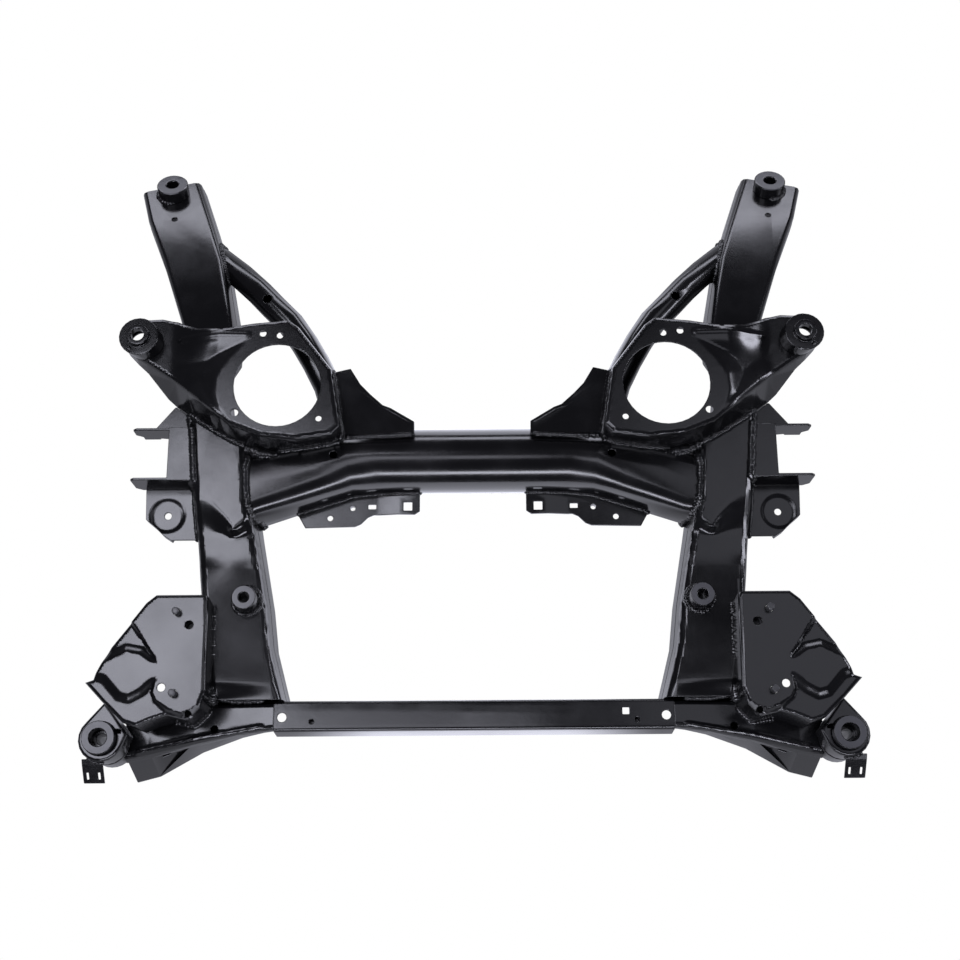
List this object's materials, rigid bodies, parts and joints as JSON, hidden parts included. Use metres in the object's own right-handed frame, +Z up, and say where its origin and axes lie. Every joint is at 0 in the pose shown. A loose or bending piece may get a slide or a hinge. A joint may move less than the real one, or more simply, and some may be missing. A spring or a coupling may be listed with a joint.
{
  "type": "front subframe",
  "caption": "Welded steel front subframe: hollow side rails with arms, a bent cross tube and front crossbar, engine mount perches, link brackets and sleeves, in gloss black paint.",
  "frame": {"origin": "centre of the footprint, on the plane the frame stands on", "axes": "+X across the car, +Y towards its rear, +Z up"},
  "size_m": [0.8646, 0.7601, 0.178],
  "materials": {
    "gloss_black_paint": "gloss black dip paint over pressed and welded steel",
    "plated_steel": "dark satin paint over weld nuts and studs"
  },
  "bodies": {
    "root": {"cross_tube": "gloss_black_paint", "front_crossbar": "gloss_black_paint", "side_rail_upper_left": "gloss_black_paint", "side_rail_upper_right": "gloss_black_paint", "side_rail_lower_left": "gloss_black_paint", "side_rail_lower_right": "gloss_black_paint", "arm_collar_left": "gloss_black_paint", "arm_collar_right": "gloss_black_paint", "mount_perch_left": "gloss_black_paint", "mount_perch_right": "gloss_black_paint", "perch_ear_collar_left": "gloss_black_paint", "perch_ear_collar_right": "gloss_black_paint", "arm_brace_left": "gloss_black_paint", "arm_brace_right": "gloss_black_paint", "brace_gusset_left": "gloss_black_paint", "brace_gusset_right": "gloss_black_paint", "rack_sleeve_left": "gloss_black_paint", "rack_sleeve_right": "gloss_black_paint", "link_clevis_left": "gloss_black_paint", "link_clevis_right": "gloss_black_paint", "link_lug_left": "gloss_black_paint", "link_lug_right": "gloss_black_paint", "tube_bracket_left": "gloss_black_paint", "tube_bracket_right": "gloss_black_paint", "bracket_nut_left": "plated_steel", "bracket_nut_right": "plated_steel", "corner_nut_left": "plated_steel", "corner_nut_right": "plated_steel", "crossbar_nut_left": "plated_steel", "crossbar_nut_right": "plated_steel", "corner_plate_left": "gloss_black_paint", "corner_plate_right": "gloss_black_paint", "corner_stud_rear_left": "plated_steel", "corner_stud_rear_right": "plated_steel", "corner_stud_front_left": "plated_steel", "corner_stud_front_right": "plated_steel", "front_sleeve_left": "gloss_black_paint", "front_sleeve_right": "gloss_black_paint", "sleeve_hoop_left": "gloss_black_paint", "sleeve_hoop_right": "gloss_black_paint", "front_tab_left": "gloss_black_paint", "front_tab_right": "gloss_black_paint", "front_box_upper_left": "gloss_black_paint", "front_box_upper_right": "gloss_black_paint", "front_box_lower_left": "gloss_black_paint", "front_box_lower_right": "gloss_black_paint"}
  },
  "joints": []
}
